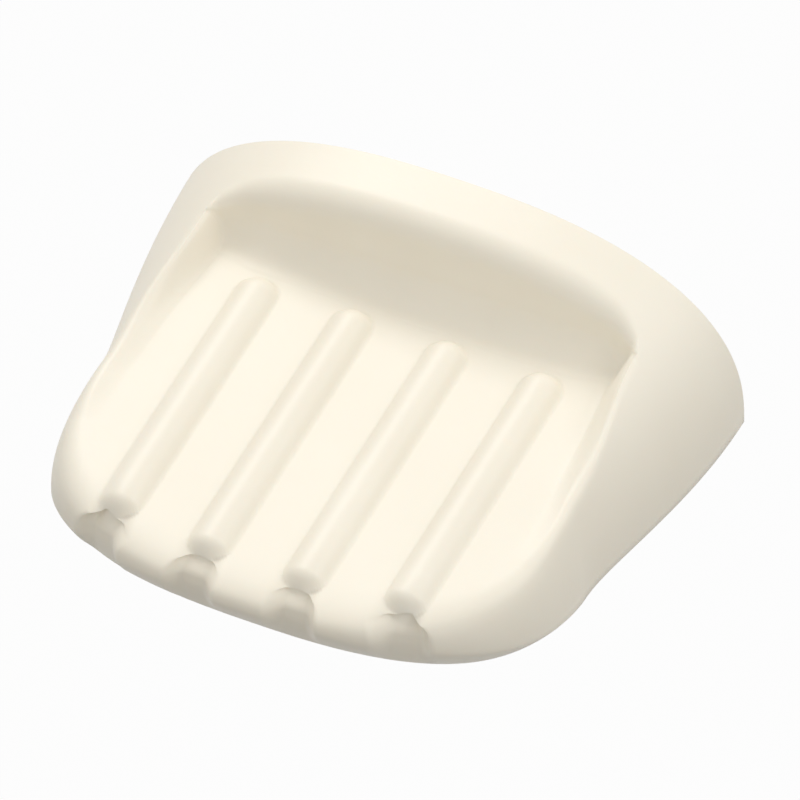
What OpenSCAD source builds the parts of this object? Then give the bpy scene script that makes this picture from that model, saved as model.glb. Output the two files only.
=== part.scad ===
// Wall-hung soap dish: a one-piece moulded tray with a raised back, four ribs and a rolled lip.
// It hooks over a hidden steel bracket, and a slanting screw from below holds it there.
// Millimetres. The origin is on the wall, midway between the bracket's two holes, level with the
// back of the tray floor. The wall is the plane y = 0, the dish stands out towards -Y, and +Z is up.

/* [Body] */
// Width of the body at the wall
dish_w = 151; // [147:0.5:160]
// Width of the body where its front begins to round in
tray_w = 132; // [128:0.5:138]
// Reach of the lip from the wall
dish_d = 127; // [122:0.5:138]
// Distance from the wall at which the front begins to round in
round_d = 72.5; // [66:0.5:79]
// Height of the raised back above the tray floor
top_h = 22.5; // [22:0.5:30]
// Depth of the body below the tray floor
base_h = 28; // [27:0.5:34]
// Reach of the flat underside from the wall
foot_d = 109; // [104:0.5:115]

/* [Tray] */
// Thickness of the raised back, from the wall to the tray
back_t = 19.5; // [17:0.5:26]
// Radius of the roll along the top of the raised back
roll_r = 7; // [4:0.5:8]
// Radius of the rolled front lip
lip_r = 5.8; // [4.5:0.1:6.5]
// Fall of the tray floor from back to front
floor_fall = 1; // [0:0.1:2.5]
// Radius of the hollow where the floor meets the raised back
cove_r = 7; // [3:0.5:7.5]

/* [Ribs] */
// Number of ribs
rib_count = 4; // [3:1:4]
// Distance from rib to rib
rib_pitch = 25; // [22:0.5:25.5]
// Width of a rib
rib_w = 10.2; // [8:0.1:11]
// Height of a rib above the floor
rib_h = 3.5; // [2.5:0.1:4.5]
// Distance from the back end of the ribs to the raised back
rib_gap = 9; // [8:0.5:14]
// Depth of the notch in the lip below the nose of each rib
notch_d = 5.5; // [4:0.5:6.5]

/* [Fixing] */
// Thickness of the foam gasket between the body and the wall
gasket_t = 1; // [0.5:0.1:2]
// Thickness of the bracket's sheet steel
sheet_t = 2; // [1.5:0.1:2.5]
// Width of the wall bracket
bracket_w = 70; // [60:1:76]
// Distance between the bracket's two screw holes
hole_pitch = 40; // [34:1:50]
// Diameter of the bracket's screw holes
hole_d = 5; // [4:0.1:5.5]
// Diameter of the lock screw
screw_d = 5; // [4:0.5:5]

/* [Hidden] */
$fn = 48;

// Clearances: where the body hangs on the bracket, beside it, and round the bush and the screw
seat_gap = 0.3;
side_gap = 1;
bush_gap = 0.1;

// Height of the body's crown line above its underside, where the front rounds in
mid_rise = 64;
// Distance in from the widest line at which the outer side of the front reaches the floor's level
rim_in = 4.2;
// Distance by which the underside is narrower than the body, each side, where the front rounds in
foot_in = 5.4;
// Softness of the crease between the outer side and the tray, and of the one round the raised back
rim_soft = 3.4;
meet_soft = 4;
// Height of the rim above the floor where it meets the raised back
rim_h = 11;
// Distance from the wall at which the rim comes down to the floor
rim_d = 84;
// Share of the way from the outer rib to the rim at which the cheek inside the rim starts
cheek_share = 0.6;
// Least distance of the rim in from the widest line, as a multiple of the brow's
rim_side = 1.1;
// Depth of the body's side where the front rounds in, as a share of its depth at the wall
side_share = 0.93;
// Ends of the raised back: where its face starts to curve forward, the radius of that curve,
// and the distance over which the rows of the tray straighten out before it
face_x = 45;
face_r = 11;
turn_r = 33;
// Rib: the length of its blunt nose, and the softness of its foot
nose_len = 3.6;
rib_soft = 1.8;
// Flat back of the body, which the gasket holds off the wall
back_y = -gasket_t;

// The bracket: its lower edge, the top of its web and the height of the flange that the body hooks over
plate_bottom = -9;
web_top = 8;
flange_h = 7;
bend_r = 1;
// Thickness of the body's hooked edge, and the space round the bracket for hanging the body up
hook_t = 5;
hang_gap = 0.5;
roof_gap = 1.5;
pocket_free = 6;

// Lock screw: its slant, the height at which its round tip meets the bracket, and its key
screw_angle = 30;
tip_z = -5;
key_w = 2.5;
key_depth = 2.5;
// Bush: its wall, its length, and its depth and the screw's below the body's underside
bush_wall = 1;
bush_len = 6.5;
bush_sink = 2.8;
key_sink = 4.3;
drill_gap = 0.3;

// Gasket: its distance in from the body's outline, and its width
gasket_inset = 1.5;
gasket_w = 7;

// Exponents of the plan's front, at its widest, at the tray's edge and underneath
front_n = 2.65;
crest_n = 3.1;
foot_n = 2.85;
// Exponents of the upright sections, of the flare to the wall and of the sweep up to the lip
wall_n = 2.5;
mid_n = 2.3;
flare_soft_share = 0.2;
under_n = 1.4;
belly_n = 0.95;
// Station at which the body's side columns meet its front
corner_s = 45;
// Depth of a notch at the tray's edge, as a share of its depth on the widest line
crest_share = 0.36;
// Share of the way down from the widest line at which the notches run out
notch_fade = 0.5;
// Shares of a rib's half width between which the notch before it runs out
notch_in = 0.4;
notch_out = 1.5;
// Share of a quarter arc that the rim's bulge follows
rim_arc = 0.7;
rim_n = 1.3;
cheek_n = 1.5;
notch_n = 3;

nose_d = dish_d - round_d;
upstand_y = -back_t;
rib_back_y = upstand_y - rib_gap;
crest_notch = notch_d * crest_share;

// Columns of the skin across a rib, as shares of half its width, and rows along the body
rib_shares = [-1.3, -1.1, -0.98, -0.85, -0.65, -0.35, 0, 0.35, 0.65, 0.85, 0.98, 1.1, 1.3];
floor_shares = [0.5, 1];
cheek_shares = [0.15, 0.4, 0.65, 0.87, 1];
brow_shares = [0.12, 0.38, 0.7, 1];
nose_shares = [0, 0.08, 0.22, 0.42, 0.68, 1, 1.4, 2, 3, 4.4];
tail_shares = [-1.5, -1, -0.68, -0.42, -0.22, -0.08, 0];
cove_shares = [-1, -0.78, -0.56, -0.36, -0.2, -0.08];
roll_shares = [0, 0.03, 0.12, 0.28, 0.5, 0.75, 1];
rim_shares = [1, 0.82, 0.64, 0.46, 0.3, 0.15, 0];
under_shares = [0.06, 0.16, 0.3, 0.5, 0.75, 1];
mid_rows = 10;
roof_rows = 3;
bend_steps = 6;
outline_steps = 48;

function mix(a, b, t) = a + (b - a) * t;
function soft_max(a, b, k) = max(a, b) + pow(max(k - abs(a - b), 0), 2) / (4 * k);
function soft_min(a, b, k) = -soft_max(-a, -b, k);
function share_of(v, a, b) = min(1, max(0, (v - a) / (b - a)));

// Half the body's width on its widest line, at distance -y from the wall
function flare(rise) = norm([rise, flare_soft_share]) - flare_soft_share;
function side_x(y) =
    tray_w / 2 + (dish_w - tray_w) / 2 * flare(sin(90 * max(0, 1 + y / round_d))) / flare(1);

// A station runs from -1 at the wall to 0 where the front rounds in, and on to 90 degrees at the middle.
function station_y(s) = mix(back_y, -round_d, 1 + s);
function width_share(s) = pow(cos(s), 2 / crest_n);
function reach_share(c, n) = pow(max(0, 1 - pow(c, n)), 1 / n);
function ring(s, inset) = s <= 0
    ? [side_x(station_y(s)) - inset, station_y(s)]
    : let (c = width_share(s), n = inset > 0 ? crest_n : front_n)
      [(tray_w / 2 - inset) * c, -round_d - (nose_d - inset) * reach_share(c, n)];
function foot(s) = s <= 0
    ? ring(s, foot_in * pow(1 + s, 2) * (1 - 2 * s))
    : let (c = width_share(s))
      [(tray_w / 2 - foot_in) * c, -round_d - (foot_d - round_d) * reach_share(c, foot_n)];
function belly_z(s) =
    let (side = base_h * mix(1, side_share, pow(sin(90 * (1 + min(s, 0))), 2)))
    -mix(side, lip_r, pow(sin(max(s, 0)), belly_n));

// Upright section of the body before the tray is sunk into it: its exponent and its rise at distance -y
function dome_n(y) = mix(mid_n, wall_n, pow(max(0, 1 + y / round_d), 2));
function dome_rise(y) = mix(top_h + base_h, mid_rise, pow(min(1, -y / round_d), 3));
function shell_z(x, y) =
    let (front = y < -round_d,
         n = dome_n(y),
         px = abs(x) / (front ? tray_w / 2 : side_x(y)),
         py = front ? (-round_d - y) / nose_d : 0,
         rho = min(1, pow(pow(px, front_n) + pow(py, front_n), 1 / front_n)),
         s = front ? acos(pow(min(1, px / rho), crest_n / 2)) : -share_of(y, -round_d, back_y))
    belly_z(s) - dome_rise(y) * belly_z(s) / base_h * pow(1 - pow(rho, n), 1 / n);

// Line of the rim: its height above the floor, and its distance from the middle
function rim_rise(y) = rim_h * pow(share_of(y, -rim_d, upstand_y), rim_n);
function rim_x(s) = s > corner_s ? rim_x(corner_s)
    : s > 0 ? ring(s, rim_in)[0] * mix(rim_x(0) / ring(0, rim_in)[0], 1, s / corner_s)
    : let (y = station_y(s), n = dome_n(y), rise = (1 - rim_rise(y) / belly_z(s)) * base_h / dome_rise(y))
      min(side_x(y) * pow(1 - pow(rise, n), 1 / n), ring(s, rim_side * rim_in)[0]);
function cheek_x(s) = mix(fan_x, rim_x(s), cheek_share);

function floor_z(y) = -floor_fall * (upstand_y - y) / (dish_d - back_t);
function rib_x(i) = (i - (rib_count - 1) / 2) * rib_pitch;
function front_y(x) =
    let (px = min(1, abs(x) / (tray_w / 2 - rim_in)))
    -round_d - (nose_d - rim_in) * reach_share(px, crest_n);

// Height of one rib: a rod sunk in the floor, blunt in front and round behind
rod_r = (rib_w * rib_w / 4 + rib_h * rib_h) / (2 * rib_h);
function rib_rise(x, y, at_x) =
    let (r = rib_w / 2,
         nose = max(front_y(at_x) + crest_notch + nose_len - y, 0) * r / nose_len,
         d = norm([x - at_x, max(nose, y - (rib_back_y - r))]),
         rod = sqrt(max(rod_r * rod_r - d * d, 0)) - max(d - rod_r, 0) - rod_r + rib_h)
    soft_max(rod, 0, rib_soft);
function ribs_rise(x, y) = max([for (i = [0:rib_count - 1]) rib_rise(x, y, rib_x(i))]);

// Set-back of the lip in front of the ribs, as a share of its depth
function notch_share(x) = max([for (i = [0:rib_count - 1])
    let (d = abs(x - rib_x(i)) / (rib_w / 2))
    (1 + cos(180 * share_of(d, notch_in, notch_out))) / 2]);

// Tray floor, and the cheek that rises from it to the rim and on
function tray_z(x, y, s) =
    let (foot_x = cheek_x(s),
         t = min(2, max(0, (abs(x) - foot_x) / (rim_x(s) - foot_x))),
         low = floor_z(y))
    t <= 0 ? low : mix(low, max(low, shell_z(rim_x(s), y)), pow(t, cheek_n));
// Face of the raised back: a cove below, a roll above, and ends that curve forward into the cheeks
function face_y(x) =
    upstand_y - face_r + sqrt(face_r * face_r - pow(min(max(abs(x) - face_x, 0), face_r), 2));
function upstand_z(x, y) =
    let (d = y - face_y(x))
    d < 0 ? floor_z(y) + cove_r - sqrt(cove_r * cove_r - pow(max(cove_r + d, 0), 2)) + min(cove_r + d, 0)
    : shell_z(x, y) - roll_r + sqrt(roll_r * roll_r - pow(max(roll_r - d, 0), 2));
function skin_z(x, y, s, back) =
    let (tray = soft_min(shell_z(x, y - back), tray_z(x, y, s), rim_soft) + ribs_rise(x, y))
    min(shell_z(x, y), soft_max(tray, upstand_z(x, y), meet_soft));

// Columns: the ribs and the gaps between them, then a fan out to each side
inner_columns = [for (i = [0:rib_count - 1]) each concat(
    [for (h = rib_shares) rib_x(i) + h * rib_w / 2],
    i < rib_count - 1 ? [rib_x(i) + rib_pitch / 2] : [])];
fan_x = inner_columns[len(inner_columns) - 1];
front_rows = [for (h = nose_shares) front_y(0) + h * rib_w / 2];
tail_rows = [for (h = tail_shares) rib_back_y + h * rib_w / 2];
first_mid = front_rows[len(front_rows) - 1];
row_ys = concat(
    front_rows,
    [for (i = [1:mid_rows]) mix(first_mid, tail_rows[0], i / (mid_rows + 1))],
    tail_rows,
    [for (h = cove_shares) upstand_y + h * cove_r],
    [for (h = roll_shares) upstand_y + h * roll_r],
    [for (i = [1:roof_rows]) mix(upstand_y + roll_r, back_y, i / roof_rows)]);

function row_front(j) = max(0, (-round_d - row_ys[j]) / (-round_d - front_y(0)));
function row_s(j) = row_front(j) > 0
    ? corner_s * row_front(j)
    : -(row_ys[j] + round_d) / (back_y + round_d);
corner_y = ring(corner_s, rim_in)[1];
function bow_share(x) = max(0, (front_y(x) - corner_y) / (front_y(0) - corner_y));

// Places across one side of a row: over the floor, up the cheek and down the brow to the outer side
n_floor = len(floor_shares);
n_cheek = len(cheek_shares);
n_brow = len(brow_shares);
n_side = n_floor + n_cheek + n_brow;
function side_place(k, s) =
    k < n_floor ? mix(fan_x, cheek_x(s), floor_shares[k])
    : k < n_floor + n_cheek ? mix(cheek_x(s), rim_x(s), cheek_shares[k - n_floor])
    : mix(rim_x(s), ring(s, rim_in)[0], brow_shares[k - n_floor - n_cheek]);

function skin_point(c, j) =
    let (s = row_s(j),
         end = ring(s, rim_in),
         side = c < 0 ? -1 : c >= len(inner_columns) ? 1 : 0,
         k = side < 0 ? -1 - c : c - len(inner_columns),
         x = side == 0 ? inner_columns[c] : side * side_place(k, s),
         back = crest_notch * notch_share(x),
         turn = (face_y(x) - upstand_y) * (1 - share_of(row_ys[j], upstand_y + roll_r, back_y))
             * (1 - share_of(row_ys[j], upstand_y - cove_r, upstand_y - cove_r - turn_r))
             * (1 - share_of(abs(x), rim_x(s), end[0])),
         y = mix(end[1], row_ys[j], side != 0 && k == n_side - 1 ? 0 : bow_share(x)) + turn
             + back * pow(row_front(j), notch_n))
    [x, y, skin_z(x, y, s, row_front(j) > 0 ? back : 0)];

n_cols = len(inner_columns) + 2 * n_side;
n_rows = len(row_ys);
skin_points = [for (j = [0:n_rows - 1], c = [0:n_cols - 1]) skin_point(c - n_side, j)];
function skin_index(c, j) = j * n_cols + c;

// Stations round the body: down the left side, along the front, and back up the right side
stations = concat(
    [for (j = [n_rows - 1:-1:0]) [-1, row_s(j), skin_index(0, j)]],
    [for (c = [1:n_cols - 2]) let (p = skin_points[c])
        [p[0] < 0 ? -1 : 1, acos(pow(min(1, abs(p[0]) / (tray_w / 2 - rim_in)), crest_n / 2)), c]],
    [for (j = [0:n_rows - 1]) [1, row_s(j), skin_index(n_cols - 1, j)]]);
n_stations = len(stations);

function station_notch(st) = st[1] > 0 ? notch_share(ring(st[1], rim_in)[0]) : 0;
function arc_fall(h) = 1 - sqrt(1 - pow(h * rim_arc, 2));
function rim_share(h) = arc_fall(h) / arc_fall(1);
function rim_point(st, h) =
    let (p = mix(ring(st[1], 0), ring(st[1], rim_in), rim_share(h)),
         back = station_notch(st) * mix(notch_d, crest_notch, rim_share(h)),
         y = p[1] + back)
    [st[0] * p[0], y, h == 0 ? belly_z(st[1]) : skin_z(st[0] * p[0], y, st[1], back)];
function under_point(st, h) =
    let (back = station_notch(st) * notch_d * max(0, 1 - h / notch_fade),
         p = mix(ring(st[1], 0), foot(st[1]), pow(h, under_n)))
    [st[0] * p[0], p[1] + back, mix(belly_z(st[1]), -base_h, h)];
band_points = concat(
    [for (i = [1:len(rim_shares) - 1], st = stations) rim_point(st, rim_shares[i])],
    [for (h = under_shares, st = stations) under_point(st, h)]);
n_bands = len(rim_shares) - 1 + len(under_shares);
function band_index(b, s) = b == 0 ? stations[s][2] : len(skin_points) + (b - 1) * n_stations + s;

body_faces = concat(
    [for (j = [0:n_rows - 2], c = [0:n_cols - 2]) each
        [[skin_index(c, j), skin_index(c, j + 1), skin_index(c + 1, j + 1)],
         [skin_index(c, j), skin_index(c + 1, j + 1), skin_index(c + 1, j)]]],
    [for (b = [0:n_bands - 1], s = [0:n_stations - 2]) each
        [[band_index(b, s), band_index(b, s + 1), band_index(b + 1, s + 1)],
         [band_index(b, s), band_index(b + 1, s + 1), band_index(b + 1, s)]]],
    [[for (s = [0:n_stations - 1]) band_index(n_bands, s)]],
    [concat(
        [for (b = [n_bands:-1:1]) band_index(b, n_stations - 1)],
        [for (c = [n_cols - 1:-1:0]) skin_index(c, n_rows - 1)],
        [for (b = [1:n_bands]) band_index(b, 0)])]);

// Bracket and the body's pocket, by distance out from the wall and by height
flange_in = gasket_t + hook_t + seat_gap;
flange_out = flange_in + sheet_t;
flange_top = web_top + flange_h;
hook_z = web_top + seat_gap;
lift_travel = flange_h;
pocket_bottom = plate_bottom - lift_travel - hang_gap;
pocket_top = flange_top + roof_gap;
pocket_out = flange_out + pocket_free;
pocket_w = bracket_w + 2 * side_gap;
under_len = (base_h + tip_z) / cos(screw_angle);
bush_start = under_len - bush_sink - bush_len;
screw_len = under_len - key_sink;
bush_d = screw_d + 2 * bush_gap + 2 * bush_wall;

function bend(y, z, r, from, to) = [for (i = [0:bend_steps])
    let (a = mix(from, to, i / bend_steps))
    [y + r * cos(a), z + r * sin(a)]];

// Extrudes an outline drawn in the plane square to the wall, along the width
module across(w) {
    rotate([90, 0, 90]) linear_extrude(w, center = true) children();
}

// Stands at the point where the lock screw's tip is rounded, with +Z along the screw towards its key
module along_screw() {
    translate([0, -sheet_t - seat_gap - screw_d / 2, tip_z]) rotate([180 - screw_angle, 0, 0]) children();
}

// Outline of the body's back, drawn in by a distance
module back_outline(inset) {
    polygon([for (i = [0:outline_steps]) let (a = 180 * i / outline_steps, c = cos(a))
        [(dish_w / 2 - inset) * sign(c) * pow(abs(c), 2 / wall_n),
         -base_h + inset + (top_h + base_h - 2 * inset) * pow(sin(a), 2 / wall_n)]]);
}

module dish_body() {
    color("antiquewhite") difference() {
        polyhedron(concat(skin_points, band_points), body_faces);
        across(pocket_w) polygon([
            [0, pocket_bottom], [-pocket_out, pocket_bottom], [-pocket_out, pocket_top],
            [-gasket_t - hook_t, pocket_top], [-gasket_t - hook_t, hook_z + bend_r],
            [-gasket_t - hook_t + bend_r, hook_z], [0, hook_z]]);
        along_screw() cylinder(h = screw_len, d = screw_d + 2 * drill_gap);
        along_screw() translate([0, 0, bush_start]) cylinder(h = screw_len, d = bush_d + 2 * bush_gap);
    }
}

module back_gasket() {
    color("dimgray") rotate([90, 0, 0]) linear_extrude(gasket_t) difference() {
        back_outline(gasket_inset);
        back_outline(gasket_inset + gasket_w);
    }
}

// Z-shaped strip: a plate on the wall, a web standing out from it and a flange turned up
module wall_bracket() {
    out_r = bend_r + sheet_t;
    color("silver") difference() {
        across(bracket_w) polygon(concat(
            [[0, plate_bottom], [-sheet_t, plate_bottom]],
            bend(-sheet_t - bend_r, web_top - sheet_t - bend_r, bend_r, 0, 90),
            bend(-flange_out + out_r, web_top - sheet_t + out_r, out_r, 270, 180),
            [[-flange_out, flange_top], [-flange_in, flange_top]],
            bend(-flange_in + bend_r, web_top + bend_r, bend_r, 180, 270),
            bend(-out_r, web_top - out_r, out_r, 90, 0)));
        for (side = [-1, 1])
            translate([side * hole_pitch / 2, sheet_t, 0]) rotate([90, 0, 0])
                cylinder(h = 3 * sheet_t, d = hole_d);
    }
}

module lock_bush() {
    color("goldenrod") along_screw() translate([0, 0, bush_start]) difference() {
        cylinder(h = bush_len, d = bush_d);
        translate([0, 0, -screw_d]) cylinder(h = screw_len, d = screw_d + 2 * bush_gap);
    }
}

module lock_screw() {
    color("gray") along_screw() difference() {
        union() {
            cylinder(h = screw_len, d = screw_d);
            sphere(d = screw_d);
        }
        translate([0, 0, screw_len - key_depth]) cylinder(h = screw_len, d = key_w / cos(30), $fn = 6);
    }
}

dish_body();
back_gasket();
wall_bracket();
lock_bush();
lock_screw();
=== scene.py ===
"""Looks of the wall-hung soap dish. Sizes are in millimetres until a mesh is written, then in metres."""

import math

import bmesh
import bpy
import numpy as np
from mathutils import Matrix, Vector


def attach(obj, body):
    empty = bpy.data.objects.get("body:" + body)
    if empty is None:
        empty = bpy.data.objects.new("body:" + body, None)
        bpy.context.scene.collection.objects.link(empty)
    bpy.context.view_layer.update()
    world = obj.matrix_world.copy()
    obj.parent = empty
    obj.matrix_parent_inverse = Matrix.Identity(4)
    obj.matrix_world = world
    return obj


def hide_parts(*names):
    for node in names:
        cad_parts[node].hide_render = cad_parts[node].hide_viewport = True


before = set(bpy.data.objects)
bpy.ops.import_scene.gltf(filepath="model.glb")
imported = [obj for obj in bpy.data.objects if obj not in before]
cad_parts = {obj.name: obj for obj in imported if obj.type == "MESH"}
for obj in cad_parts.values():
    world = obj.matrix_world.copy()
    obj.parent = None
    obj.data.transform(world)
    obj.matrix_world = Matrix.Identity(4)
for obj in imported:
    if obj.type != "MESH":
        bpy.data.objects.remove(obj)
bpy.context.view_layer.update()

MM = 0.001

# Sizes of the body, the same as the part's own
DISH_W, TRAY_W, DISH_D, ROUND_D = 151.0, 132.0, 127.0, 72.5
TOP_H, BASE_H, FOOT_D, FOOT_IN = 22.5, 28.0, 109.0, 5.4
BACK_T, ROLL_R, LIP_R, FLOOR_FALL, GASKET_T = 19.5, 7.0, 5.8, 1.0, 1.0
RIB_COUNT, RIB_PITCH, RIB_W, RIB_H, RIB_SOFT = 4, 25.0, 10.2, 3.5, 1.8
MID_RISE, RIM_IN, RIM_H, RIM_D, TURN_R, MEET_SOFT = 64.0, 4.2, 11.0, 84.0, 33.0, 4.0

# Powers and shares that shape its curves, the same as the part's own
FRONT_N, CREST_N, FOOT_N, WALL_N, MID_N = 2.65, 3.1, 2.85, 2.5, 2.3
UNDER_N, BELLY_N, RIM_N, CHEEK_N = 1.4, 0.95, 1.3, 1.5
SIDE_SHARE, CHEEK_SHARE, RIM_SIDE, RIM_ARC = 0.93, 0.6, 1.1, 0.7
FLARE_SOFT, FAN_SHARE, NOTCH_FADE = 0.2, 1.3, 0.5

# Drawn finer than in the part: rounder noses, softer notches and rim, wider and softer ends of the back
RIB_TIP, CREST_NOTCH, NOTCH_BITE, LIP_NOTCH, NOTCH_IN, NOTCH_OUT = 4.0, 3.8, 1.8, 4.4, 0.45, 1.35
FACE_X, FACE_R, RIM_TOP, RIM_TOP_SOFT, FLOOR_SOFT = 47.0, 13.0, 10.0, 2.0, 0.5
COVE_R, COVE_PART, LEAST_R, RIB_GAP = 10.0, 0.6, 1.0, 12.0
RIM_SOFT, BACK_SOFT, SOFTER_FROM_Y, SOFTER_TO_Y = 5.2, 6.5, -60.0, -28.0

# Sizes of the pocket and the lock screw's hole, the same as the part's own
SHEET_T, HOOK_T, SEAT_GAP, BEND_R, BRACKET_W, SIDE_GAP = 2.0, 5.0, 0.3, 1.0, 70.0, 1.0
PLATE_BOTTOM, WEB_TOP, FLANGE_H, HANG_GAP, ROOF_GAP, POCKET_FREE = -9.0, 8.0, 7.0, 0.5, 1.5, 6.0
SCREW_D, SCREW_ANGLE, TIP_Z, DRILL_GAP, KEY_SINK = 5.0, math.radians(30), -5.0, 0.3, 4.3
BUSH_GAP, BUSH_WALL, BUSH_LEN, BUSH_SINK = 0.1, 1.0, 6.5, 2.8

# The skin's step, the lengths with finer steps at the ribs' noses, their tails and the roll, and the rings
FINE, FINE_NOSE, FINE_TAIL, FINE_ROLL, RIM_RINGS, UNDER_RINGS = 0.8, 12.0, 8.0, 1.0, 13, 25
HOLE_SIDES, CUT_OVER, SHARP_ANGLE = 64, 1.0, math.radians(42)

# Worked out from the sizes above
BACK_Y, UPSTAND_Y = -GASKET_T, -BACK_T
NOSE_D = DISH_D - ROUND_D
SIDE_H = SIDE_SHARE * BASE_H
RIB_BACK_Y = UPSTAND_Y - RIB_GAP
RIBS = [(i - (RIB_COUNT - 1) / 2) * RIB_PITCH for i in range(RIB_COUNT)]
FAN_X = (RIB_COUNT - 1) / 2 * RIB_PITCH + FAN_SHARE * RIB_W / 2
CORNER = math.radians(45)
HOOK_Z = WEB_TOP + SEAT_GAP
POCKET_BOTTOM, POCKET_TOP = PLATE_BOTTOM - FLANGE_H - HANG_GAP, WEB_TOP + FLANGE_H + ROOF_GAP
POCKET_OUT = GASKET_T + HOOK_T + SEAT_GAP + SHEET_T + POCKET_FREE
POCKET_W = BRACKET_W + 2 * SIDE_GAP
UNDER_LEN = (BASE_H + TIP_Z) / math.cos(SCREW_ANGLE)
SCREW_LEN = UNDER_LEN - KEY_SINK
BUSH_START = UNDER_LEN - BUSH_SINK - BUSH_LEN
BUSH_HOLE_R = SCREW_D / 2 + BUSH_WALL + 2 * BUSH_GAP


def mix(a, b, t):
    return a + (b - a) * t


def share_of(v, a, b):
    return np.clip((v - a) / np.where(b == a, 1, b - a), 0, 1)


def soft_max(a, b, k):
    return np.maximum(a, b) + np.maximum(k - np.abs(a - b), 0) ** 2 / (4 * k)


def soft_min(a, b, k):
    return -soft_max(-a, -b, k)


def side_x(y):
    flare = np.hypot(np.sin(np.pi / 2 * np.maximum(0, 1 + y / ROUND_D)), FLARE_SOFT) - FLARE_SOFT
    return TRAY_W / 2 + (DISH_W - TRAY_W) / 2 * flare / (np.hypot(1, FLARE_SOFT) - FLARE_SOFT)


def station_y(s):
    return mix(BACK_Y, -ROUND_D, 1 + s)


def super_arc(half_w, reach, s, n):
    """A point of the rounded front at angle s: its distance from the middle, and its place along Y."""
    c = np.maximum(np.cos(s), 0) ** (2 / CREST_N)
    return half_w * c, -ROUND_D - reach * np.maximum(0, 1 - c**n) ** (1 / n)


def ring(s, inset):
    """The widest line in plan, drawn in by a distance: s runs from -1 at the wall to 0, then is an angle."""
    straight = np.minimum(s, 0)
    x0, y0 = side_x(station_y(straight)) - inset, station_y(straight)
    n = CREST_N if inset else FRONT_N
    x1, y1 = super_arc(TRAY_W / 2 - inset, NOSE_D - inset, np.maximum(s, 0), n)
    return np.where(s <= 0, x0, x1), np.where(s <= 0, y0, y1)


def foot(s):
    """Outline of the flat underside."""
    straight = np.minimum(s, 0)
    draw = FOOT_IN * (1 + straight) ** 2 * (1 - 2 * straight)
    x0, y0 = side_x(station_y(straight)) - draw, station_y(straight)
    x1, y1 = super_arc(TRAY_W / 2 - FOOT_IN, FOOT_D - ROUND_D, np.maximum(s, 0), FOOT_N)
    return np.where(s <= 0, x0, x1), np.where(s <= 0, y0, y1)


def belly_z(s):
    """Height of the widest line."""
    side = mix(BASE_H, SIDE_H, np.sin(np.pi / 2 * (1 + np.minimum(s, 0))) ** 2)
    return -mix(side, LIP_R, np.maximum(np.sin(np.maximum(s, 0)), 0) ** BELLY_N)


def dome_n(y):
    return mix(MID_N, WALL_N, np.maximum(0, 1 + y / ROUND_D) ** 2)


def dome_rise(y):
    return mix(TOP_H + BASE_H, MID_RISE, np.minimum(1, -y / ROUND_D) ** 3)


def shell_z(x, y):
    """Height of the body's outer form before the tray is sunk into it."""
    front = y < -ROUND_D
    n = dome_n(y)
    px = np.abs(x) / np.where(front, TRAY_W / 2, side_x(y))
    py = np.where(front, (-ROUND_D - y) / NOSE_D, 0)
    rho = np.minimum(1, (px**FRONT_N + py**FRONT_N) ** (1 / FRONT_N))
    angle = np.arccos(np.minimum(1, px / np.maximum(rho, 1e-9)) ** (CREST_N / 2))
    s = np.where(front, angle, -share_of(y, -ROUND_D, BACK_Y))
    belly = belly_z(s)
    return belly - dome_rise(y) * belly / BASE_H * (1 - rho**n) ** (1 / n)


def rim_rise(y):
    return soft_min(RIM_H * share_of(y, -RIM_D, UPSTAND_Y) ** RIM_N, RIM_TOP, RIM_TOP_SOFT)


def rim_x(s):
    """Distance from the middle to the rim, where the cheeks meet the outer form."""
    s = np.minimum(s, CORNER)
    y = station_y(np.minimum(s, 0))
    n = dome_n(y)
    belly = belly_z(np.minimum(s, 0))
    side = side_x(y) * (1 - ((rim_rise(y) / -belly + 1) * BASE_H / dome_rise(y)) ** n) ** (1 / n)
    side = np.minimum(side, ring(np.minimum(s, 0), RIM_SIDE * RIM_IN)[0])
    return np.where(s > 0, ring(s, RIM_IN)[0] * mix(side / ring(0.0, RIM_IN)[0], 1, s / CORNER), side)


def cheek_x(s):
    return mix(FAN_X, rim_x(s), CHEEK_SHARE)


def floor_z(y):
    return -FLOOR_FALL * (UPSTAND_Y - y) / (DISH_D - BACK_T)


def front_y(x):
    px = np.minimum(1, np.abs(x) / (TRAY_W / 2 - RIM_IN))
    return -ROUND_D - (NOSE_D - RIM_IN) * (1 - px**CREST_N) ** (1 / CREST_N)


def ribs_rise(x, y):
    """Height of the ribs over the floor: rods half sunk in it, blunt in front and round behind."""
    r = RIB_W / 2
    rod_r = (r * r + RIB_H * RIB_H) / (2 * RIB_H)
    best = np.zeros(np.broadcast(x, y).shape)
    for at in RIBS:
        tip = front_y(at) + CREST_NOTCH
        nose = np.maximum(tip + RIB_TIP - y, 0) / RIB_TIP
        tail = np.maximum(y - (RIB_BACK_Y - r), 0) / r
        d = np.hypot((x - at) / r, np.maximum(nose, tail)) * r
        rod = np.sqrt(np.maximum(rod_r**2 - d * d, 0)) - np.maximum(d - rod_r, 0) - (rod_r - RIB_H)
        best = np.maximum(best, soft_max(rod, 0, RIB_SOFT))
    return best


def face_y(x):
    """Plan line of the raised back's face, which curves forward into the cheeks at its ends."""
    out = np.clip(np.abs(x) - FACE_X, 0, FACE_R)
    return UPSTAND_Y - FACE_R + np.sqrt(FACE_R**2 - out**2)


def notch_share(x):
    """Depth of the notches as a share, full below each nose and none between them."""
    best = np.zeros(np.shape(x))
    for at in RIBS:
        d = np.abs(x - at) / (RIB_W / 2)
        best = np.maximum(best, (1 + np.cos(np.pi * share_of(d, NOTCH_IN, NOTCH_OUT))) / 2)
    return best


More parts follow.
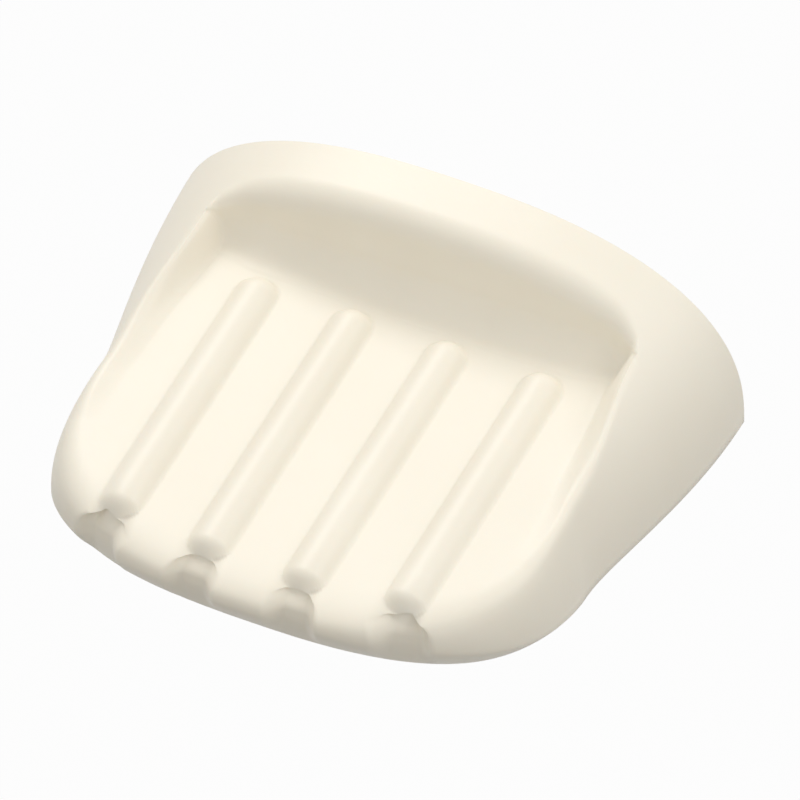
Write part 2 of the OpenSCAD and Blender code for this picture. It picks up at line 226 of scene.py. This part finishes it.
def upstand_z(x, y):
    """Face of the raised back: a cove below and a roll above."""
    d = y - face_y(x)
    low = floor_z(y)
    rise = shell_z(x, face_y(x)) - low
    cove_r = np.clip(COVE_PART * rise, LEAST_R, COVE_R)
    roll_r = np.clip((1 - COVE_PART) * rise, LEAST_R, ROLL_R)
    cove = low + cove_r - np.sqrt(np.maximum(0, cove_r**2 - np.maximum(cove_r + d, 0) ** 2))
    cove = cove + np.minimum(cove_r + d, 0)
    roll = shell_z(x, y) - roll_r + np.sqrt(roll_r**2 - np.maximum(roll_r - np.maximum(d, 0), 0) ** 2)
    return np.where(d < 0, cove, roll)


def skin_z(x, y, s, back):
    """Height of the finished skin: tray and cheeks under the outer form, ribs and raised back."""
    shell = shell_z(x, y - back)
    rim = rim_x(s)
    foot_x = cheek_x(s)
    t = np.clip((np.abs(x) - foot_x) / (rim - foot_x), 0, 2)
    low = floor_z(y)
    cheek = mix(low, np.maximum(low, shell_z(rim, y)), t**CHEEK_N)
    soft = mix(RIM_SOFT, BACK_SOFT, share_of(y, SOFTER_FROM_Y, SOFTER_TO_Y))
    tray = soft_min(shell, cheek, soft) + ribs_rise(x, y)
    meet = mix(FLOOR_SOFT, MEET_SOFT, np.minimum(t, 1))
    return np.minimum(shell_z(x, y), soft_max(tray, upstand_z(x, y), meet))


def steps(a, b, size):
    return np.linspace(a, b, max(2, int(round(abs(b - a) / size)) + 1))


def column(values):
    return values[:, None]


def body_grid():
    """Rows and columns of the skin, as points, with the station of each row."""
    crest = front_y(0.0)
    spans = [
        (crest, crest + FINE_NOSE, 0.5),
        (crest + FINE_NOSE, RIB_BACK_Y - FINE_TAIL, 1.0),
        (RIB_BACK_Y - FINE_TAIL, UPSTAND_Y, 0.6),
        (UPSTAND_Y, UPSTAND_Y + FINE_ROLL, 0.12),
        (UPSTAND_Y + FINE_ROLL, UPSTAND_Y + ROLL_R, 0.5),
        (UPSTAND_Y + ROLL_R, BACK_Y, 1.0),
    ]
    rows = np.concatenate([steps(start, end, FINE * share)[:-1] for start, end, share in spans] + [[BACK_Y]])
    inner = steps(-FAN_X, FAN_X, FINE * 0.6)
    floor_part, cheek_part, brow_part = [steps(0, 1, size)[1:] for size in (0.2, 0.04, 0.07)]
    ahead = np.maximum(0, (-ROUND_D - rows) / (-ROUND_D - crest))
    s = np.where(ahead > 0, CORNER * ahead, -(rows + ROUND_D) / (BACK_Y + ROUND_D))
    end_x, end_y = ring(s, RIM_IN)
    rim, cheek = rim_x(s), cheek_x(s)
    side = np.concatenate([
        mix(FAN_X, column(cheek), floor_part),
        mix(column(cheek), column(rim), cheek_part),
        mix(column(rim), column(end_x), brow_part),
    ], axis=1)
    x = np.concatenate([-side[:, ::-1], np.broadcast_to(inner, (len(rows), len(inner))), side], axis=1)
    corner_y = ring(CORNER, RIM_IN)[1]
    bow = np.maximum(0, (front_y(x) - corner_y) / (crest - corner_y))
    bow[:, 0] = bow[:, -1] = 0
    notch = notch_share(x)
    y = mix(column(end_y), column(rows), bow) + CREST_NOTCH * notch * column(ahead) ** 3
    behind = share_of(column(rows), UPSTAND_Y + ROLL_R, BACK_Y)
    before = share_of(column(rows), UPSTAND_Y - COVE_R, UPSTAND_Y - COVE_R - TURN_R)
    outside = share_of(np.abs(x), column(rim), column(end_x))
    y = y + (face_y(x) - UPSTAND_Y) * (1 - behind) * (1 - before) * (1 - outside)
    back = np.where(column(ahead) > 0, CREST_NOTCH * notch, 0)
    z = skin_z(x, y, np.broadcast_to(column(s), x.shape), back)
    return x, y, z, s


def arc_fall(h):
    return 1 - math.sqrt(1 - (h * RIM_ARC) ** 2)


def body_bands(x, s):
    """Rings round the body, from the skin's edge over the widest line and in to the flat underside."""
    rows, cols = x.shape
    left = [(r, 0) for r in range(rows - 1, -1, -1)]
    front = [(0, c) for c in range(1, cols - 1)]
    right = [(r, cols - 1) for r in range(rows)]
    path = left + front + right
    edge_x = np.array([x[p] for p in path])
    side = np.where(edge_x < 0, -1.0, 1.0)
    share = np.minimum(1, np.abs(edge_x) / (TRAY_W / 2 - RIM_IN))
    st = np.array([s[r] if c in (0, cols - 1) else 0.0 for r, c in path])
    on_front = np.zeros(len(path), bool)
    on_front[len(left) : len(left) + len(front)] = True
    st = np.where(on_front, np.arccos(share ** (CREST_N / 2)), st)
    top_x, top_y = ring(st, 0.0)
    in_x, in_y = ring(st, RIM_IN)
    foot_x, foot_y = foot(st)
    notch = np.where(st > 0, notch_share(in_x), 0)
    rings = []
    for h in np.linspace(1, 0, RIM_RINGS + 1)[1:]:
        share = arc_fall(h) / arc_fall(1)
        back = notch * (mix(LIP_NOTCH, CREST_NOTCH, share) + 4 * NOTCH_BITE * share * (1 - share))
        px, py = mix(top_x, in_x, share), mix(top_y, in_y, share) + back
        pz = skin_z(px, py, st, back) if h > 0 else belly_z(st)
        rings.append((side * px, py, pz))
    for h in np.linspace(0, 1, UNDER_RINGS + 1)[1:]:
        back = notch * LIP_NOTCH * max(0.0, 1 - h / NOTCH_FADE)
        px, py = mix(top_x, foot_x, h**UNDER_N), mix(top_y, foot_y, h**UNDER_N) + back
        rings.append((side * px, py, mix(belly_z(st), -BASE_H, h)))
    return path, rings


def turn_out(mesh):
    """Turns the faces of a closed mesh outward."""
    tidy = bmesh.new()
    tidy.from_mesh(mesh)
    bmesh.ops.recalc_face_normals(tidy, faces=tidy.faces)
    tidy.to_mesh(mesh)
    tidy.free()


def prism(name, ring_a, ring_b):
    """A closed solid between two outlines of the same count, in millimetres."""
    n = len(ring_a)
    mesh = bpy.data.meshes.new(name)
    faces = [(i, (i + 1) % n, n + (i + 1) % n, n + i) for i in range(n)]
    faces += [tuple(range(n))[::-1], tuple(range(n, 2 * n))]
    mesh.from_pydata([tuple(c * MM for c in p) for p in [*ring_a, *ring_b]], [], faces)
    turn_out(mesh)
    solid = bpy.data.objects.new(name, mesh)
    bpy.context.collection.objects.link(solid)
    return solid


def pocket_cutter():
    """The pocket in the back, with the edge that hooks over the bracket."""
    hook = -GASKET_T - HOOK_T
    profile = [
        (CUT_OVER, POCKET_BOTTOM), (-POCKET_OUT, POCKET_BOTTOM), (-POCKET_OUT, POCKET_TOP),
        (hook, POCKET_TOP), (hook, HOOK_Z + BEND_R), (hook + BEND_R, HOOK_Z), (CUT_OVER, HOOK_Z),
    ]
    ends = [[(side * POCKET_W / 2, y, z) for y, z in profile] for side in (-1, 1)]
    return prism("pocket", *ends)


def screw_cutter(start, radius):
    """A hole round the lock screw's axis, as long as the screw, from a distance along it."""
    tip = Vector((0, -SHEET_T - SEAT_GAP - SCREW_D / 2, TIP_Z))
    along = Vector((0, -math.sin(SCREW_ANGLE), -math.cos(SCREW_ANGLE)))
    across = along.cross(Vector((1, 0, 0)))
    turns = [i * math.tau / HOLE_SIDES for i in range(HOLE_SIDES)]
    rings = [
        [
            tip + along * d + Vector((math.cos(a) * radius, 0, 0)) + across * math.sin(a) * radius
            for a in turns
        ]
        for d in (start, start + SCREW_LEN)
    ]
    return prism("hole", *rings)


def skin_mesh():
    """The whole outside of the body as one closed mesh: skin, rings, flat underside and flat back."""
    x, y, z, s = body_grid()
    path, rings = body_bands(x, s)
    rows, cols = x.shape
    count = len(path)
    verts = np.concatenate([np.stack([x, y, z], -1).reshape(-1, 3)] + [np.stack(r, -1) for r in rings]) * MM

    def at(row, col):
        return row * cols + col

    faces = [
        (at(r, c + 1), at(r + 1, c + 1), at(r + 1, c), at(r, c))
        for r in range(rows - 1) for c in range(cols - 1)]
    loops = [[at(r, c) for r, c in path]]
    loops += [[rows * cols + b * count + i for i in range(count)] for b in range(len(rings))]
    for upper, lower in zip(loops, loops[1:]):
        faces += [(lower[i], lower[i + 1], upper[i + 1], upper[i]) for i in range(count - 1)]
    underside = loops[-1][::-1]
    back = [loop[0] for loop in loops[::-1]] + [at(rows - 1, c) for c in range(1, cols - 1)]
    back += [loop[-1] for loop in loops]
    mesh = bpy.data.meshes.new("dish_cast")
    mesh.from_pydata(verts.tolist(), [], [*faces, tuple(underside), tuple(back)])
    mesh.validate()
    turn_out(mesh)
    return mesh


def make_body():
    """The body, with the pocket and the two widths of the screw's hole cut out of it."""
    mesh = skin_mesh()
    body = bpy.data.objects.new("dish_cast", mesh)
    bpy.context.collection.objects.link(body)
    cutters = [
        pocket_cutter(), screw_cutter(0, SCREW_D / 2 + DRILL_GAP), screw_cutter(BUSH_START, BUSH_HOLE_R)]
    for cutter in cutters:
        cut = body.modifiers.new("cut", "BOOLEAN")
        cut.operation, cut.solver, cut.object = "DIFFERENCE", "EXACT", cutter
    solid = bpy.data.meshes.new_from_object(body.evaluated_get(bpy.context.evaluated_depsgraph_get()))
    body.modifiers.clear()
    body.data = solid
    bpy.data.meshes.remove(mesh)
    for cutter in cutters:
        shape = cutter.data
        bpy.data.objects.remove(cutter)
        bpy.data.meshes.remove(shape)
    solid.name = "dish_cast"
    solid.shade_smooth()
    solid.set_sharp_from_angle(angle=SHARP_ANGLE)
    return body


# Materials
def new_material(name):
    mat = bpy.data.materials.new(name)
    mat.use_nodes = True
    nodes, links = mat.node_tree.nodes, mat.node_tree.links
    return mat, nodes, links, nodes["Principled BSDF"]


def noise(nodes, links, vector, scale, detail):
    node = nodes.new("ShaderNodeTexNoise")
    node.inputs["Scale"].default_value = scale
    node.inputs["Detail"].default_value = detail
    links.new(vector, node.inputs["Vector"])
    return node.outputs["Fac"]


def tone(nodes, links, shader, share, colours, places=(0, 1)):
    """Base colour that runs between two colours."""
    ramp = nodes.new("ShaderNodeValToRGB")
    for element, colour, place in zip(ramp.color_ramp.elements, colours, places):
        element.color, element.position = (*colour, 1), place
    links.new(share, ramp.inputs["Fac"])
    links.new(ramp.outputs["Color"], shader.inputs["Base Color"])


def roughness(nodes, links, shader, share, limits):
    spread = nodes.new("ShaderNodeMapRange")
    spread.inputs["To Min"].default_value, spread.inputs["To Max"].default_value = limits
    links.new(share, spread.inputs["Value"])
    links.new(spread.outputs["Result"], shader.inputs["Roughness"])


def relief(nodes, links, shader, height, strength, distance):
    bump = nodes.new("ShaderNodeBump")
    bump.inputs["Strength"].default_value = strength
    bump.inputs["Distance"].default_value = distance
    links.new(height, bump.inputs["Height"])
    links.new(bump.outputs["Normal"], shader.inputs["Normal"])


def ceramic():
    """Satin cream glaze: soft sheen, a faint change of tone and a very fine ripple."""
    mat, nodes, links, shader = new_material("cream_glaze")
    place = nodes.new("ShaderNodeTexCoord").outputs["Object"]
    cloud = noise(nodes, links, place, 22, 3)
    tone(nodes, links, shader, cloud, ((0.865, 0.812, 0.695), (0.895, 0.847, 0.735)), (0.3, 0.7))
    roughness(nodes, links, shader, cloud, (0.42, 0.52))
    relief(nodes, links, shader, noise(nodes, links, place, 260, 2), 0.15, 0.0002)
    shader.inputs["Subsurface Weight"].default_value = 0.12
    shader.inputs["Subsurface Radius"].default_value = (1.0, 0.7, 0.5)
    shader.inputs["Subsurface Scale"].default_value = 0.002
    return mat


def metal(name, colours, rough, grain, stretch=(1, 1, 1)):
    """Bare metal: streaks or fine grain in its tone and roughness."""
    mat, nodes, links, shader = new_material(name)
    scale = nodes.new("ShaderNodeMapping")
    scale.inputs["Scale"].default_value = stretch
    links.new(nodes.new("ShaderNodeTexCoord").outputs["Object"], scale.inputs["Vector"])
    streak = noise(nodes, links, scale.outputs["Vector"], grain, 4)
    tone(nodes, links, shader, streak, colours, (0.3, 0.7))
    roughness(nodes, links, shader, streak, rough)
    relief(nodes, links, shader, streak, 0.2, 0.00005)
    shader.inputs["Metallic"].default_value = 1
    return mat


def foam():
    """Grey closed-cell foam: small round cells as pits."""
    mat, nodes, links, shader = new_material("gasket_foam")
    cells = nodes.new("ShaderNodeTexVoronoi")
    cells.inputs["Scale"].default_value = 1600
    links.new(nodes.new("ShaderNodeTexCoord").outputs["Object"], cells.inputs["Vector"])
    tone(nodes, links, shader, cells.outputs["Distance"], ((0.045, 0.045, 0.047), (0.085, 0.085, 0.088)))
    relief(nodes, links, shader, cells.outputs["Distance"], 0.5, 0.0002)
    shader.inputs["Roughness"].default_value = 0.9
    return mat


def brushed_steel():
    return metal("bracket_steel", ((0.50, 0.51, 0.52), (0.64, 0.65, 0.66)), (0.28, 0.42), 60, (1, 14, 14))


def turned_steel():
    return metal("screw_steel", ((0.42, 0.42, 0.43), (0.56, 0.56, 0.57)), (0.25, 0.4), 700)


def turned_brass():
    return metal("bush_brass", ((0.62, 0.45, 0.18), (0.76, 0.58, 0.27)), (0.24, 0.38), 500)


def cover(piece, mat):
    piece.data.materials.clear()
    piece.data.materials.append(mat)


body = make_body()
cover(body, ceramic())
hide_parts("dish_body")
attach(body, "dish")
cover(bpy.data.objects["wall_bracket"], brushed_steel())
cover(bpy.data.objects["lock_screw"], turned_steel())
cover(bpy.data.objects["lock_bush"], turned_brass())
cover(bpy.data.objects["back_gasket"], foam())


# Stage, light and camera
def lamp(name, spot, target, size, power):
    data = bpy.data.lights.new(name, "AREA")
    data.shape, data.size, data.energy = "DISK", size, power
    lamp_object = bpy.data.objects.new(name, data)
    lamp_object.location = spot
    lamp_object.rotation_mode = "QUATERNION"
    lamp_object.rotation_quaternion = (Vector(target) - Vector(spot)).to_track_quat("-Z", "Y")
    lamp_object.visible_camera = False
    bpy.context.collection.objects.link(lamp_object)


# The camera's angles, and where the dish's middle stands in the photograph
AZIMUTH, ELEVATION = math.radians(25.1), math.radians(46.4)
CAMERA_DISTANCE, SENSOR_MM, VIEW_SIZE_PX = 4.2, 36, 800
SCALE_PX_PER_M, CENTRE_PX = 4188, (355.9, 405.9)
CENTRE = Vector((0, -0.06, 0))


def make_camera():
    level = math.cos(ELEVATION)
    view_dir = Vector((math.sin(AZIMUTH) * level, -math.cos(AZIMUTH) * level, math.sin(ELEVATION)))
    right = Vector((math.cos(AZIMUTH), math.sin(AZIMUTH), 0))
    up = view_dir.cross(right)
    data = bpy.data.cameras.new("camera")
    data.sensor_width = SENSOR_MM
    data.lens = SCALE_PX_PER_M * CAMERA_DISTANCE * SENSOR_MM / VIEW_SIZE_PX
    data.clip_start, data.clip_end = 0.1, 20
    camera = bpy.data.objects.new("camera", data)
    bpy.context.collection.objects.link(camera)
    aim = CENTRE + right * (VIEW_SIZE_PX / 2 - CENTRE_PX[0]) / SCALE_PX_PER_M
    aim += up * (CENTRE_PX[1] - VIEW_SIZE_PX / 2) / SCALE_PX_PER_M
    camera.location = aim + view_dir * CAMERA_DISTANCE
    camera.rotation_mode = "QUATERNION"
    camera.rotation_quaternion = (-view_dir).to_track_quat("-Z", "Y")
    bpy.context.scene.camera = camera


make_camera()
lamp("key", (-0.75, 0.9, 1.25), CENTRE, 0.7, 9.2)
lamp("side", (1.3, 0.5, 1.2), CENTRE, 1.0, 6.8)


def white_for_camera(nodes, links, lit, plain_kind, share):
    """Shader that camera, glossy and transmission rays see as mostly plain white, and others as lit."""
    seen = nodes.new(plain_kind)
    seen.inputs["Color"].default_value = (1, 1, 1, 1)
    seen.inputs["Strength"].default_value = 1
    path = nodes.new("ShaderNodeLightPath")
    total = path.outputs["Is Camera Ray"]
    for ray in ("Is Glossy Ray", "Is Transmission Ray"):
        either = nodes.new("ShaderNodeMath")
        either.operation = "MAXIMUM"
        links.new(total, either.inputs[0])
        links.new(path.outputs[ray], either.inputs[1])
        total = either.outputs["Value"]
    part = nodes.new("ShaderNodeMath")
    part.operation = "MULTIPLY"
    part.inputs[1].default_value = share
    links.new(total, part.inputs[0])
    blend = nodes.new("ShaderNodeMixShader")
    links.new(part.outputs["Value"], blend.inputs["Fac"])
    links.new(lit, blend.inputs[1])
    links.new(seen.outputs[0], blend.inputs[2])
    return blend.outputs["Shader"], path


# A pale floor a good way below the dish, open to the camera from underneath
FLOOR_Z, FLOOR_SIZE, FLOOR_WHITE = -0.4, 12.0, 0.97


def floor_material():
    mat, nodes, links, shader = new_material("pale_floor")
    place = nodes.new("ShaderNodeTexCoord").outputs["Generated"]
    tone(nodes, links, shader, noise(nodes, links, place, 3, 2), ((0.27, 0.266, 0.258), (0.31, 0.306, 0.298)))
    shader.inputs["Roughness"].default_value = 0.8
    lit, path = white_for_camera(nodes, links, shader.outputs["BSDF"], "ShaderNodeEmission", FLOOR_WHITE)
    hidden = nodes.new("ShaderNodeMath")
    hidden.operation = "MULTIPLY"
    links.new(nodes.new("ShaderNodeNewGeometry").outputs["Backfacing"], hidden.inputs[0])
    links.new(path.outputs["Is Camera Ray"], hidden.inputs[1])
    open_below = nodes.new("ShaderNodeMixShader")
    links.new(hidden.outputs["Value"], open_below.inputs["Fac"])
    links.new(lit, open_below.inputs[1])
    links.new(nodes.new("ShaderNodeBsdfTransparent").outputs["BSDF"], open_below.inputs[2])
    links.new(open_below.outputs["Shader"], nodes["Material Output"].inputs["Surface"])
    return mat


floor_mesh = bpy.data.meshes.new("floor")
half = FLOOR_SIZE / 2
corners = [(x, y, FLOOR_Z) for x, y in ((-half, -half), (half, -half), (half, half), (-half, half))]
floor_mesh.from_pydata(corners, [], [(0, 1, 2, 3)])
floor = bpy.data.objects.new("floor", floor_mesh)
bpy.context.collection.objects.link(floor)
floor_mesh.materials.append(floor_material())


def make_world():
    """Soft studio light from all round, which the camera sees as white."""
    world = bpy.data.worlds.new("studio")
    bpy.context.scene.world = world
    world.use_nodes = True
    nodes, links = world.node_tree.nodes, world.node_tree.links
    soft = nodes["Background"]
    soft.inputs["Color"].default_value = (1, 0.985, 0.96, 1)
    soft.inputs["Strength"].default_value = 0.74
    white = white_for_camera(nodes, links, soft.outputs["Background"], "ShaderNodeBackground", 1)[0]
    links.new(white, nodes["World Output"].inputs["Surface"])


make_world()
bpy.context.scene.view_settings.view_transform = "Standard"
